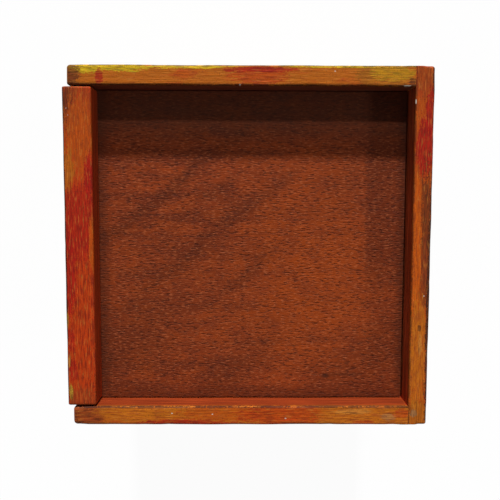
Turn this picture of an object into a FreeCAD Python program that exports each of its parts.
# Jack in the box: a worn painted wooden box, its recessed plywood lid hung on a pivoting
# wooden rail, and a cloth jack with a turned head on a coil spring.
# Millimetres. +Z is up, the front is -Y, and the origin is the middle of the underside.
import FreeCAD, Part
import math
import os

V = FreeCAD.Vector

# Box
BOX_WIDTH = 140.0
BOX_DEPTH = 140.0
BOX_HEIGHT = 150.0
FRONT_THICK = 7.3
BACK_THICK = 7.3
LEFT_THICK = 7.4
RIGHT_THICK = 7.7
BACK_INSET = 1.0
BOTTOM_THICK = 4.0

# Lid and hinge rail
LID_RECESS = 11.3
LID_THICK = 4.0
LID_SIDE_GAP = 0.4
LID_FRONT_GAP = 0.6
RAIL_WIDTH = 11.0
RAIL_PROUD = 1.9
RAIL_END_GAP = 0.4
GROOVE_DEPTH = 3.5
HEEL_GAP = 1.0
PIN_RADIUS = 1.25
PIN_REACH = 14.0
PIN_HEAD_RADIUS = 2.6
PIN_HEAD_THICK = 0.8

# Strips and blocks glued inside the box
LEDGE_SIZE = 6.0
LEDGE_GAP = 0.1
LEDGE_SETBACK = 10.0
LEDGE_CLEARANCE = 4.0
BLOCK_SIZE = 9.0
BLOCK_DROP = 4.0

# Nails and screws
NAIL_RADIUS = 0.8
NAIL_LENGTH = 24.0
NAIL_HEAD_RADIUS = 1.5
NAIL_HEAD_THICK = 0.6
NAIL_MARGIN = 18.0
BOTTOM_NAIL_OFFSET = 35.0
SCREW_RADIUS = 1.5
SCREW_HEAD_RADIUS = 3.0
SCREW_HEAD_DEPTH = 1.8
SCREW_BITE = 4.5
SCREW_OFFSET = 10.0

# Spring and its two seats
SPRING_RADIUS = 22.0
WIRE_RADIUS = 1.0
SPRING_TURNS = 8
SPRING_ROOM = 26.6
SPRING_END_GAP = 0.3
SPIGOT_CLEARANCE = 0.5
SPIGOT_HEIGHT = 6.0
PLATE_RADIUS = 27.0
PLATE_THICK = 5.0

# Jack
NECK_RADIUS = 5.0
NECK_IN_PLATE = 3.5
NECK_IN_HEAD = 10.0
LID_CLEARANCE = 5.0
GOWN_TOP_RADIUS = 12.0
GOWN_HEM_RADIUS = 34.0
GOWN_HEM_DROP = 3.0
GOWN_FOLDS = 8
GOWN_FOLD_DEPTH = 2.6
GOWN_FOLD_FADE = 0.8
GOWN_SWELL_POWER = 1.5
RUFF_RADIUS = 27.0
RUFF_THICK = 6.0
RUFF_PLEATS = 12
RUFF_PLEAT_DEPTH = 2.0
HEAD_RADIUS = 18.0
HEAD_SINK = 1.0
NOSE_RADIUS = 3.4
NOSE_DROP = 3.0
CAP_LIFT = 8.0
CAP_EASE = 0.5
CAP_TIP_RADIUS = 3.2
CAP_HEIGHT = 22.0
CAP_TAPER = ((0.0, 1.0), (0.3, 0.88), (0.66, 0.52))
BAND_RADIUS = 2.6
BOBBLE_RADIUS = 4.2
SLEEVE_DROP = 8.0
SLEEVE_LENGTH = 30.0
SLEEVE_OUT = 0.62
SLEEVE_FORWARD = 0.16
SLEEVE_DOWN = 0.77
SLEEVE_TOP_RADIUS = 5.0
SLEEVE_CUFF_RADIUS = 7.2
HAND_LENGTH = 11.0
HAND_RADIUS = 5.0
HAND_SWELL = (0.75, 1.0, 1.0, 0.5)
BUTTON_RADIUS = 2.6
BUTTON_COUNT = 2

# Sliding catch inside the front wall
CATCH_DROP = 38.0
CATCH_TRAVEL = 10.0
BAR_THICK = 2.5
BAR_HEIGHT = 8.0
BAR_TAIL = 25.0
ARM_OFFSET = 9.0
ARM_WIDTH = 4.0
TONGUE_DROP = 7.7
TONGUE_HEIGHT = 5.0
SHANK_RADIUS = 2.0
KNOB_RADIUS = 5.0
KNOB_LENGTH = 6.9
KNOB_BORE = 4.0
KNOB_ROUND = 1.5
GUIDE_WIDTH = 5.0
GUIDE_THICK = 1.2
GUIDE_EAR = 5.0
GUIDE_SPACING = 15.0
GUIDE_PIN_LENGTH = 6.0
FACE_PLATE_HEIGHT = 12.0
FACE_PLATE_MARGIN = 6.5
FACE_PLATE_THICK = 0.8
FACE_PIN_INSET = 2.4
FACE_PIN_LENGTH = 7.0
KEEPER_THICK = 1.2
KEEPER_DEPTH = 10.0
KEEPER_HOLD = 1.4
KEEPER_SCREW_RADIUS = 0.9
KEEPER_SCREW_HEAD = 1.8
KEEPER_SCREW_BITE = 3.0

# Clearances shared by many pieces
RUNNING_FIT = 0.05
SNUG_FIT = 0.02
SLIDE_GAP = 0.1
SIDE_GAP = 0.2
SLOT_GAP = 0.3
CATCH_GAP = 0.5
SOFT_GAP = 0.3

# Places worked out from the sizes above
LEFT = -BOX_WIDTH / 2
RIGHT = BOX_WIDTH / 2
FRONT = -BOX_DEPTH / 2
BACK = BOX_DEPTH / 2
IN_LEFT = LEFT + LEFT_THICK
IN_RIGHT = RIGHT - RIGHT_THICK
IN_FRONT = FRONT + FRONT_THICK
BACK_OUTER = BACK - BACK_INSET
IN_BACK = BACK_OUTER - BACK_THICK
RAIL_BACK = BACK + RAIL_PROUD
RAIL_FRONT = RAIL_BACK - RAIL_WIDTH
LID_TOP = BOX_HEIGHT - LID_RECESS
LID_UNDER = LID_TOP - LID_THICK
HEEL_RADIUS = RAIL_WIDTH / 2
PIVOT_Y = RAIL_BACK - HEEL_RADIUS
PIVOT_Z = LID_TOP - LID_THICK / 2
BACK_TOP = PIVOT_Z - HEEL_RADIUS - HEEL_GAP
LEDGE_TOP = LID_UNDER - LEDGE_GAP
LEDGE_UNDER = LEDGE_TOP - LEDGE_SIZE

PLATE_UNDER = BOTTOM_THICK + SPRING_ROOM
PLATE_TOP = PLATE_UNDER + PLATE_THICK
SPIGOT_RADIUS = SPRING_RADIUS - WIRE_RADIUS - SPIGOT_CLEARANCE
GOWN_HEM = PLATE_UNDER - GOWN_HEM_DROP

# The jack is stacked down from the lid, and its gown takes up the room that is left above the plate
BOBBLE_Z = LID_UNDER - LID_CLEARANCE - BOBBLE_RADIUS
CAP_TIP = BOBBLE_Z - BOBBLE_RADIUS / 2
CAP_BASE = CAP_TIP - CAP_HEIGHT
CAP_RADIUS = HEAD_RADIUS + CAP_EASE
HEAD_Z = CAP_BASE - CAP_LIFT
RUFF_TOP = HEAD_Z - HEAD_RADIUS + HEAD_SINK
RUFF_BASE = RUFF_TOP - RUFF_THICK
GOWN_TOP = RUFF_BASE - SOFT_GAP

CATCH_Z = BOX_HEIGHT - CATCH_DROP
CATCH_X = -CATCH_TRAVEL / 2
BAR_OUTER = IN_FRONT + SLIDE_GAP
BAR_INNER = BAR_OUTER + BAR_THICK
BAR_LOW = CATCH_Z - BAR_HEIGHT / 2
BAR_HIGH = CATCH_Z + BAR_HEIGHT / 2
ARM_LEFT = CATCH_X + ARM_OFFSET
ARM_RIGHT = ARM_LEFT + ARM_WIDTH
TONGUE_TOP = LID_UNDER - TONGUE_DROP
TONGUE_LOW = TONGUE_TOP - TONGUE_HEIGHT
TONGUE_LENGTH = CATCH_TRAVEL - 4 * CATCH_GAP
KEEPER_LEFT = ARM_RIGHT + CATCH_TRAVEL + CATCH_GAP
KEEPER_RIGHT = ARM_RIGHT + CATCH_TRAVEL + TONGUE_LENGTH - CATCH_GAP
KEEPER_MIDDLE = (KEEPER_LEFT + KEEPER_RIGHT) / 2
KEEPER_FRONT = BAR_INNER + CATCH_GAP
FACE_PLATE_WIDTH = CATCH_TRAVEL + 2 * (SHANK_RADIUS + FACE_PLATE_MARGIN)
FACE_OUTER = FRONT - FACE_PLATE_THICK


# Helpers

def block(x0, x1, y0, y1, z0, z1):
    """A straight-sided block between two corners."""
    return Part.makeBox(x1 - x0, y1 - y0, z1 - z0, V(x0, y0, z0))


def rod(radius, start, end):
    """A round rod from start to end."""
    way = end - start
    return Part.makeCylinder(radius, way.Length, start, way)


def prism_along_x(points, x0, x1):
    """A straight prism along X with the (y, z) outline points."""
    corners = [V(x0, y, z) for y, z in points]
    outline = Part.makePolygon(corners + corners[:1])
    return Part.Face(outline).extrude(V(x1 - x0, 0, 0))


def cut_all(shape, tools):
    """The shape with every tool taken out of it."""
    for tool in tools:
        shape = shape.cut(tool)
    return shape


def nail(head, way, length, grow=0.0):
    """A wire nail with its flat head flush at the point head; grow makes the hole for it."""
    shank = Part.makeCylinder(NAIL_RADIUS + grow, length, head, way)
    flat = Part.makeCylinder(NAIL_HEAD_RADIUS + grow, NAIL_HEAD_THICK, head, way)
    return shank.fuse(flat).removeSplitter()


def nails_and_holes(places, length):
    """Nails at (point, direction) places, and the snug holes that take them."""
    nails = [nail(head, way, length) for head, way in places]
    holes = [nail(head, way, length, SNUG_FIT) for head, way in places]
    return nails, holes


def ring_of_arcs(centre, normal, radius):
    """A round outline made of three equal arcs."""
    axis = V(normal).normalize()
    side = axis.cross(V(0, 1, 0)).normalize()
    up = axis.cross(side)

    def point(sixth):
        angle = math.radians(60 * sixth)
        return centre + side * (radius * math.cos(angle)) + up * (radius * math.sin(angle))

    arcs = [Part.Arc(point(k), point(k + 1), point(k + 2)).toShape() for k in (0, 2, 4)]
    return Part.Wire(arcs)


def wavy_ring(z, radius, depth, folds):
    """An outline of folds round the Z axis: one arc out and one arc in for each fold."""
    def point(eighth, reach):
        angle = -math.pi / 2 + eighth * math.pi / (2 * folds)
        return V(reach * math.cos(angle), reach * math.sin(angle), z)

    arcs = []
    for fold in range(folds):
        start = 4 * fold - 1
        out = Part.Arc(point(start, radius), point(start + 1, radius + depth), point(start + 2, radius))
        back = Part.Arc(point(start + 2, radius), point(start + 3, radius - depth), point(start + 4, radius))
        arcs += [out.toShape(), back.toShape()]
    return Part.Wire(arcs)


def limb(start, way, length, radii):
    """A stuffed limb along way that swells and tapers through the given radii."""
    step = length / (len(radii) - 1)
    rings = [ring_of_arcs(start + way * (step * k), way, radius) for k, radius in enumerate(radii)]
    return Part.makeLoft(rings, True)


def biarc(p0, t0, p1, t1):
    """Two tangent arcs from p0, leaving along t0, to p1, arriving along t1."""
    chord = p1 - p0
    both = t0 + t1
    spread = 2 * (1 - t0.dot(t1))
    along = chord.dot(both)
    reach = (-along + math.sqrt(along * along + spread * chord.dot(chord))) / spread
    joint = (p0 + p1 + (t0 - t1) * reach) * 0.5

    def arc(start, corner, end):
        middle = (start + end) * 0.5
        half = (end - start).Length / 2
        lift = corner - middle
        bend = math.atan2(lift.Length, half)
        crown = middle + lift.normalize() * (half * math.tan(bend / 2))
        return Part.Arc(start, crown, end).toShape()

    return [arc(p0, p0 + t0 * reach, joint), arc(joint, p1 - t1 * reach, p1)]


def save(name, *solids):
    """Writes one node, a single solid or a group of separate ones."""
    shape = solids[0] if len(solids) == 1 else Part.makeCompound(list(solids))
    shape.exportStep(f"parts/{name}.step")


# Box: walls, bottom, ledges, corner blocks and nails

def wall_nail_places():
    """Nails through the front into the sides, and through the sides into the back."""
    places = []
    for level in (NAIL_MARGIN, BOX_HEIGHT / 2, BOX_HEIGHT - NAIL_MARGIN):
        for x in (LEFT + LEFT_THICK / 2, RIGHT - RIGHT_THICK / 2):
            places.append((V(x, FRONT, level), V(0, 1, 0)))
    back_middle = (IN_BACK + BACK_OUTER) / 2
    for level in (NAIL_MARGIN, BACK_TOP / 2, BACK_TOP - NAIL_MARGIN):
        places.append((V(LEFT, back_middle, level), V(1, 0, 0)))
        places.append((V(RIGHT, back_middle, level), V(-1, 0, 0)))
    return places


def bottom_nail_places():
    """Nails through the four walls into the edge of the bottom panel."""
    level = BOTTOM_THICK / 2
    places = []
    for offset in (-BOTTOM_NAIL_OFFSET, BOTTOM_NAIL_OFFSET):
        places.append((V(offset, FRONT, level), V(0, 1, 0)))
        places.append((V(offset, BACK_OUTER, level), V(0, -1, 0)))
        places.append((V(LEFT, offset, level), V(1, 0, 0)))
        places.append((V(RIGHT, offset, level), V(-1, 0, 0)))
    return places


def catch_slot(radius, y0, y1):
    """A round-ended slot along X, as long as the catch travels."""
    ends = [rod(radius, V(x, y0, CATCH_Z), V(x, y1, CATCH_Z)) for x in (CATCH_X, CATCH_X + CATCH_TRAVEL)]
    middle = block(CATCH_X, CATCH_X + CATCH_TRAVEL, y0, y1, CATCH_Z - radius, CATCH_Z + radius)
    return ends[0].fuse(middle).fuse(ends[1])


def hinge_pin(side, outer):
    """A headed pin through one side wall into the rail; side is -1 for left and 1 for right."""
    head = rod(PIN_HEAD_RADIUS, V(outer, PIVOT_Y, PIVOT_Z),
               V(outer + side * PIN_HEAD_THICK, PIVOT_Y, PIVOT_Z))
    inner = IN_RIGHT if side > 0 else IN_LEFT
    tip = inner - side * (RAIL_END_GAP + PIN_REACH)
    return head.fuse(rod(PIN_RADIUS, V(outer, PIVOT_Y, PIVOT_Z), V(tip, PIVOT_Y, PIVOT_Z)))


def block_screws(grow=0.0):
    """Two countersunk screws from the underside into the spring block."""
    screws = []
    for x in (-SCREW_OFFSET, SCREW_OFFSET):
        base = V(x, 0, 0)
        head = Part.makeCone(SCREW_HEAD_RADIUS + grow, SCREW_RADIUS + grow, SCREW_HEAD_DEPTH, base)
        shank = Part.makeCylinder(SCREW_RADIUS + grow, BOTTOM_THICK + SCREW_BITE, base)
        screws.append(head.fuse(shank))
    return screws


def make_box():
    wall_nails, wall_holes = nails_and_holes(wall_nail_places(), NAIL_LENGTH)
    bottom_nails, bottom_holes = nails_and_holes(bottom_nail_places(), NAIL_LENGTH)
    holes = wall_holes + bottom_holes
    pivot_hole = rod(PIN_RADIUS + SNUG_FIT, V(2 * LEFT, PIVOT_Y, PIVOT_Z), V(2 * RIGHT, PIVOT_Y, PIVOT_Z))

    guide_pins, guide_pin_holes = nails_and_holes(guide_pin_places(), GUIDE_PIN_LENGTH)
    face_pins, face_pin_holes = nails_and_holes(face_pin_places(), FACE_PIN_LENGTH)
    slot = catch_slot(SHANK_RADIUS + SLOT_GAP, 2 * FRONT, 0)

    front = block(LEFT, RIGHT, FRONT, IN_FRONT, 0, BOX_HEIGHT)
    save("front_wall", cut_all(front, holes + guide_pin_holes + face_pin_holes + [slot]))
    left = block(LEFT, IN_LEFT, IN_FRONT, BACK, 0, BOX_HEIGHT)
    save("left_wall", cut_all(left, holes + [pivot_hole]))
    right = block(IN_RIGHT, RIGHT, IN_FRONT, BACK, 0, BOX_HEIGHT)
    save("right_wall", cut_all(right, holes + [pivot_hole]))
    back = block(IN_LEFT, IN_RIGHT, IN_BACK, BACK_OUTER, 0, BACK_TOP)
    save("back_wall", cut_all(back, holes))
    bottom = block(IN_LEFT, IN_RIGHT, IN_FRONT, IN_BACK, 0, BOTTOM_THICK)
    save("bottom_panel", cut_all(bottom, bottom_holes + block_screws(SNUG_FIT)))
    save("wall_nails", *wall_nails)
    save("bottom_nails", *bottom_nails)

    save("hinge_pin_left", hinge_pin(-1, LEFT))
    save("hinge_pin_right", hinge_pin(1, RIGHT))

    ledge_end = RAIL_FRONT - LEDGE_SETBACK
    save("left_ledge", block(IN_LEFT, IN_LEFT + LEDGE_SIZE, IN_FRONT, ledge_end, LEDGE_UNDER, LEDGE_TOP))
    save("right_ledge", block(IN_RIGHT - LEDGE_SIZE, IN_RIGHT, IN_FRONT, ledge_end, LEDGE_UNDER, LEDGE_TOP))
    front_ledges = (
        ("front_ledge_left", IN_LEFT + LEDGE_SIZE, ARM_LEFT - LEDGE_CLEARANCE),
        ("front_ledge_right", KEEPER_RIGHT + LEDGE_CLEARANCE, IN_RIGHT - LEDGE_SIZE),
    )
    for name, x0, x1 in front_ledges:
        save(name, block(x0, x1, IN_FRONT, IN_FRONT + LEDGE_SIZE, LEDGE_UNDER, LEDGE_TOP))

    block_top = LEDGE_UNDER - BLOCK_DROP
    for end, y0 in (("front", IN_FRONT), ("back", IN_BACK - BLOCK_SIZE)):
        for side, x0 in (("left", IN_LEFT), ("right", IN_RIGHT - BLOCK_SIZE)):
            corner = block(x0, x0 + BLOCK_SIZE, y0, y0 + BLOCK_SIZE, BOTTOM_THICK, block_top)
            save(f"corner_block_{end}_{side}", cut_all(corner, holes))

    save("catch_guides", *[cut_all(guide, guide_pin_holes) for guide in catch_guides()])
    save("catch_guide_pins", *guide_pins)
    save("catch_face_plate", cut_all(face_plate(), face_pin_holes + [slot]))
    save("catch_face_pins", *face_pins)


# Lid: plywood panel glued into the groove of the rail, with the keeper under its front edge

def make_lid():
    keeper, screws, screw_holes = keeper_and_screws()
    panel = block(IN_LEFT + LID_SIDE_GAP, IN_RIGHT - LID_SIDE_GAP,
                  IN_FRONT + LID_FRONT_GAP, RAIL_FRONT + GROOVE_DEPTH, LID_UNDER, LID_TOP)
    save("lid_panel", cut_all(panel, screw_holes))
    save("lid_keeper", cut_all(keeper, screw_holes))
    save("lid_keeper_screws", *screws)

    x0 = IN_LEFT + RAIL_END_GAP
    x1 = IN_RIGHT - RAIL_END_GAP
    corners = [V(x0, RAIL_FRONT, PIVOT_Z), V(x0, RAIL_FRONT, BOX_HEIGHT),
               V(x0, RAIL_BACK, BOX_HEIGHT), V(x0, RAIL_BACK, PIVOT_Z)]
    sides = [Part.LineSegment(a, b).toShape() for a, b in zip(corners, corners[1:])]
    heel = Part.Arc(corners[3], V(x0, PIVOT_Y, PIVOT_Z - HEEL_RADIUS), corners[0]).toShape()
    rail = Part.Face(Part.Wire(sides + [heel])).extrude(V(x1 - x0, 0, 0))
    groove = block(x0, x1, RAIL_FRONT - RAIL_WIDTH, RAIL_FRONT + GROOVE_DEPTH, LID_UNDER, LID_TOP)
    bores = [rod(PIN_RADIUS + RUNNING_FIT, V(end, PIVOT_Y, PIVOT_Z),
                 V(end + way * (PIN_REACH + CATCH_GAP), PIVOT_Y, PIVOT_Z))
             for end, way in ((x0, 1), (x1, -1))]
    save("hinge_rail", cut_all(rail, [groove] + bores))


def keeper_and_screws():
    """The bent strip under the lid that the catch's tongue holds down, and its two screws."""
    lip_top = TONGUE_LOW - CATCH_GAP
    web_back = KEEPER_FRONT + KEEPER_THICK
    outline = [
        (BAR_INNER - KEEPER_HOLD, lip_top - KEEPER_THICK),
        (web_back, lip_top - KEEPER_THICK),
        (web_back, LID_UNDER - KEEPER_THICK),
        (KEEPER_FRONT + KEEPER_DEPTH, LID_UNDER - KEEPER_THICK),
        (KEEPER_FRONT + KEEPER_DEPTH, LID_UNDER),
        (KEEPER_FRONT, LID_UNDER),
        (KEEPER_FRONT, lip_top),
        (BAR_INNER - KEEPER_HOLD, lip_top),
    ]
    keeper = prism_along_x(outline, KEEPER_LEFT, KEEPER_RIGHT)

    def screw(y, grow=0.0):
        seat = LID_UNDER - KEEPER_THICK
        shank = rod(KEEPER_SCREW_RADIUS + grow, V(KEEPER_MIDDLE, y, seat),
                    V(KEEPER_MIDDLE, y, LID_UNDER + KEEPER_SCREW_BITE))
        head = rod(KEEPER_SCREW_HEAD, V(KEEPER_MIDDLE, y, seat - KEEPER_SCREW_RADIUS),
                   V(KEEPER_MIDDLE, y, seat))
        return shank if grow else shank.fuse(head)

    first = web_back + KEEPER_SCREW_HEAD + CATCH_GAP
    rows = (first, KEEPER_FRONT + KEEPER_DEPTH - KEEPER_SCREW_HEAD - SIDE_GAP)
    return keeper, [screw(y) for y in rows], [screw(y, SNUG_FIT) for y in rows]


# Catch: a brass bar that slides along X behind the front wall, moved by a knob in front

def guide_centres():
    """The places along X of the two guides."""
    last = ARM_LEFT - GUIDE_WIDTH
    return (last - GUIDE_SPACING, last)


def guide_levels():
    """The heights of a guide's ears, legs and inside, from low to high."""
    inside = BAR_HEIGHT / 2 + SIDE_GAP
    leg = inside + GUIDE_THICK
    ear = leg + GUIDE_EAR
    return [CATCH_Z + offset for offset in (-ear, -leg, -inside, inside, leg, ear)]


def guide_pin_places():
    low_ear, low_leg, _, _, high_leg, high_ear = guide_levels()
    levels = ((low_ear + low_leg) / 2, (high_leg + high_ear) / 2)
    return [(V(x, IN_FRONT + GUIDE_THICK, z), V(0, -1, 0)) for x in guide_centres() for z in levels]


def catch_guides():
    """Two brass straps that bridge the sliding bar."""
    low_ear, low_leg, low_in, high_in, high_leg, high_ear = guide_levels()
    skin = IN_FRONT + GUIDE_THICK
    bridge = BAR_INNER + SLIDE_GAP
    top = bridge + GUIDE_THICK
    outline = [
        (IN_FRONT, low_ear), (skin, low_ear), (skin, low_leg), (top, low_leg),
        (top, high_leg), (skin, high_leg), (skin, high_ear), (IN_FRONT, high_ear),
        (IN_FRONT, high_in), (bridge, high_in), (bridge, low_in), (IN_FRONT, low_in),
    ]
    half = GUIDE_WIDTH / 2
    return [prism_along_x(outline, x - half, x + half) for x in guide_centres()]


def face_plate():
    """The thin brass plate round the slot, on the outside of the front wall."""
    half = FACE_PLATE_WIDTH / 2
    rise = FACE_PLATE_HEIGHT / 2
    return block(-half, half, FACE_OUTER, FRONT, CATCH_Z - rise, CATCH_Z + rise)


def face_pin_places():
    reach = FACE_PLATE_WIDTH / 2 - FACE_PIN_INSET
    return [(V(x, FACE_OUTER, CATCH_Z), V(0, 1, 0)) for x in (-reach, reach)]


def make_catch():
    outline = [
        (CATCH_X - BAR_TAIL, BAR_LOW), (ARM_RIGHT, BAR_LOW), (ARM_RIGHT, TONGUE_LOW),
        (ARM_RIGHT + TONGUE_LENGTH, TONGUE_LOW), (ARM_RIGHT + TONGUE_LENGTH, TONGUE_TOP),
        (ARM_LEFT, TONGUE_TOP), (ARM_LEFT, BAR_HIGH), (CATCH_X - BAR_TAIL, BAR_HIGH),
    ]
    corners = [V(x, BAR_OUTER, z) for x, z in outline]
    bar = Part.Face(Part.makePolygon(corners + corners[:1])).extrude(V(0, BAR_THICK, 0))
    shank_hole = rod(SHANK_RADIUS + SNUG_FIT, V(CATCH_X, FRONT, CATCH_Z), V(CATCH_X, 0, CATCH_Z))
    save("catch_bar", bar.cut(shank_hole))

    knob_inner = FACE_OUTER - SLOT_GAP
    knob_outer = knob_inner - KNOB_LENGTH
    bore_end = knob_inner - KNOB_BORE
    save("catch_shank", rod(SHANK_RADIUS, V(CATCH_X, bore_end, CATCH_Z), V(CATCH_X, BAR_INNER, CATCH_Z)))
    knob = rod(KNOB_RADIUS, V(CATCH_X, knob_inner, CATCH_Z), V(CATCH_X, knob_outer, CATCH_Z))
    rims = [edge for edge in knob.Edges if edge.Closed]
    knob = knob.makeFillet(KNOB_ROUND, rims)
    bore = rod(SHANK_RADIUS + SNUG_FIT, V(CATCH_X, bore_end, CATCH_Z), V(CATCH_X, FRONT, CATCH_Z))
    save("catch_knob", knob.cut(bore))


# Spring: one unbroken helix of wire, pressed down under the closed lid

def spring_point(turn, low, pitch):
    """A point on the wire's middle line and its direction, at a count of turns."""
    angle = 2 * math.pi * turn
    place = V(SPRING_RADIUS * math.cos(angle), SPRING_RADIUS * math.sin(angle), low + pitch * turn)
    way = V(-math.sin(angle), math.cos(angle), pitch / (2 * math.pi * SPRING_RADIUS))
    return place, way.normalize()


def make_spring():
    low = BOTTOM_THICK + SPRING_END_GAP + WIRE_RADIUS
    high = PLATE_UNDER - SPRING_END_GAP - WIRE_RADIUS
    pitch = (high - low) / SPRING_TURNS
    stations = [spring_point(quarter / 4, low, pitch) for quarter in range(4 * SPRING_TURNS + 1)]
    first, first_way = stations[0]
    last, last_way = stations[-1]
    start = first - first_way * (2 * WIRE_RADIUS)
    end = last + last_way * (2 * WIRE_RADIUS)
    edges = [Part.LineSegment(start, first).toShape()]
    for (p0, t0), (p1, t1) in zip(stations, stations[1:]):
        edges += biarc(p0, t0, p1, t1)
    edges.append(Part.LineSegment(last, end).toShape())
    section = Part.Wire([Part.Circle(start, first_way, WIRE_RADIUS).toShape()])
    pipe = Part.BRepOffsetAPI.MakePipeShell(Part.Wire(edges))
    pipe.add(section)
    pipe.build()
    pipe.makeSolid()
    save("jack_spring", pipe.shape())

    steps = 48
    places = [spring_point(k / steps, low, pitch)[0] for k in range(steps * SPRING_TURNS + 1)]
    apart = min((places[i + k] - places[i]).Length
                for i in range(0, len(places) - steps // 2, 7)
                for k in range(steps // 2, min(2 * steps, len(places) - i)))
    print(f"jack_spring: least gap to itself {apart - 2 * WIRE_RADIUS:.2f} mm")


def make_spring_block():
    """The turned seat on the bottom panel that the lowest turn sits round."""
    seat = Part.makeCylinder(SPIGOT_RADIUS, SPIGOT_HEIGHT, V(0, 0, BOTTOM_THICK))
    save("spring_block", cut_all(seat, block_screws(SNUG_FIT)))
    save("spring_block_screws", *block_screws())


# Jack: plate, dowel neck, cloth gown, ruff, turned head, felt cap and stuffed arms

def gown_radius(share):
    """The gown's middle radius and fold depth, from 0 at the hem to 1 at the top."""
    swell = 1 - share ** GOWN_SWELL_POWER
    radius = GOWN_TOP_RADIUS + (GOWN_HEM_RADIUS - GOWN_TOP_RADIUS) * swell
    return radius, GOWN_FOLD_DEPTH * (1 - GOWN_FOLD_FADE * share)


def gown_level(share):
    return GOWN_HEM + (GOWN_TOP - GOWN_HEM) * share


def make_gown():
    rings = [wavy_ring(gown_level(share), *gown_radius(share), GOWN_FOLDS) for share in (0, 1 / 3, 2 / 3, 1)]
    gown = Part.makeLoft(rings, True)
    pocket = Part.makeCylinder(PLATE_RADIUS + SOFT_GAP, PLATE_TOP + SOFT_GAP, V(0, 0, 0))
    neck = Part.makeCylinder(NECK_RADIUS + SOFT_GAP, BOX_HEIGHT)
    save("gown", cut_all(gown, [pocket, neck]))
    return gown


def make_sleeves_and_hands(gown):
    for name, side in (("left", -1), ("right", 1)):
        way = V(side * SLEEVE_OUT, -SLEEVE_FORWARD, -SLEEVE_DOWN).normalize()
        shoulder_z = GOWN_TOP - SLEEVE_DROP
        start = V(side * GOWN_TOP_RADIUS, 0, shoulder_z)
        middle = (SLEEVE_TOP_RADIUS + SLEEVE_CUFF_RADIUS) / 2
        radii = (SLEEVE_TOP_RADIUS, middle, middle, SLEEVE_CUFF_RADIUS)
        sleeve = limb(start, way, SLEEVE_LENGTH, radii)
        save(f"{name}_sleeve", sleeve.cut(gown))
        wrist = start + way * SLEEVE_LENGTH
        swell = [HAND_RADIUS * share for share in HAND_SWELL]
        save(f"{name}_hand", limb(wrist, way, HAND_LENGTH, swell).cut(gown))


def make_buttons(gown):
    buttons = []
    for k in range(BUTTON_COUNT):
        share = (k + 1) / (BUTTON_COUNT + 1)
        radius, depth = gown_radius(share)
        bead = Part.makeSphere(BUTTON_RADIUS, V(0, -(radius + depth), gown_level(share)))
        buttons.append(bead.cut(gown))
    save("gown_buttons", *buttons)


def make_ruff():
    middle = RUFF_BASE + RUFF_THICK / 2
    trim = RUFF_THICK / 3
    rings = [wavy_ring(z, radius, RUFF_PLEAT_DEPTH, RUFF_PLEATS)
             for z, radius in ((RUFF_BASE, RUFF_RADIUS - trim), (middle, RUFF_RADIUS),
                               (RUFF_TOP, RUFF_RADIUS - trim))]
    neck = Part.makeCylinder(NECK_RADIUS + SOFT_GAP, BOX_HEIGHT)
    chin = Part.makeSphere(HEAD_RADIUS + SOFT_GAP, V(0, 0, HEAD_Z))
    save("ruff", cut_all(Part.makeLoft(rings, True), [neck, chin]))


def make_head_and_cap():
    centre = V(0, 0, HEAD_Z)
    ball = Part.makeSphere(HEAD_RADIUS, centre)
    room = Part.makeSphere(HEAD_RADIUS + SOFT_GAP, centre)
    neck_low = PLATE_TOP - NECK_IN_PLATE
    neck_high = HEAD_Z - HEAD_RADIUS + NECK_IN_HEAD
    save("neck_dowel", rod(NECK_RADIUS, V(0, 0, neck_low), V(0, 0, neck_high)))
    socket = rod(NECK_RADIUS + SNUG_FIT, V(0, 0, 0), V(0, 0, neck_high))
    save("head", ball.cut(socket))
    nose_z = HEAD_Z - NOSE_DROP
    save("nose", Part.makeSphere(NOSE_RADIUS, V(0, -HEAD_RADIUS - NOSE_RADIUS / 4, nose_z)).cut(ball))

    up = V(0, 0, 1)
    profile = [(rise, CAP_RADIUS * share) for rise, share in CAP_TAPER] + [(1, CAP_TIP_RADIUS)]
    rings = [ring_of_arcs(V(0, 0, CAP_BASE + CAP_HEIGHT * share), up, radius) for share, radius in profile]
    cone = Part.makeLoft(rings, True)
    save("cap", cone.cut(room))
    band = Part.makeTorus(CAP_RADIUS, BAND_RADIUS, V(0, 0, CAP_BASE), up)
    save("cap_band", cut_all(band, [room, cone]))
    save("cap_bobble", Part.makeSphere(BOBBLE_RADIUS, V(0, 0, BOBBLE_Z)).cut(cone))

    plate = Part.makeCylinder(PLATE_RADIUS, PLATE_THICK, V(0, 0, PLATE_UNDER))
    spigot = Part.makeCylinder(SPIGOT_RADIUS, SPIGOT_HEIGHT, V(0, 0, PLATE_UNDER - SPIGOT_HEIGHT))
    neck_hole = rod(NECK_RADIUS + SNUG_FIT, V(0, 0, neck_low), V(0, 0, GOWN_TOP))
    save("spring_plate", plate.fuse(spigot).removeSplitter().cut(neck_hole))


os.makedirs("parts", exist_ok=True)
make_box()
make_lid()
make_catch()
make_spring_block()
make_spring()
gown_form = make_gown()
make_sleeves_and_hands(gown_form)
make_buttons(gown_form)
make_ruff()
make_head_and_cap()
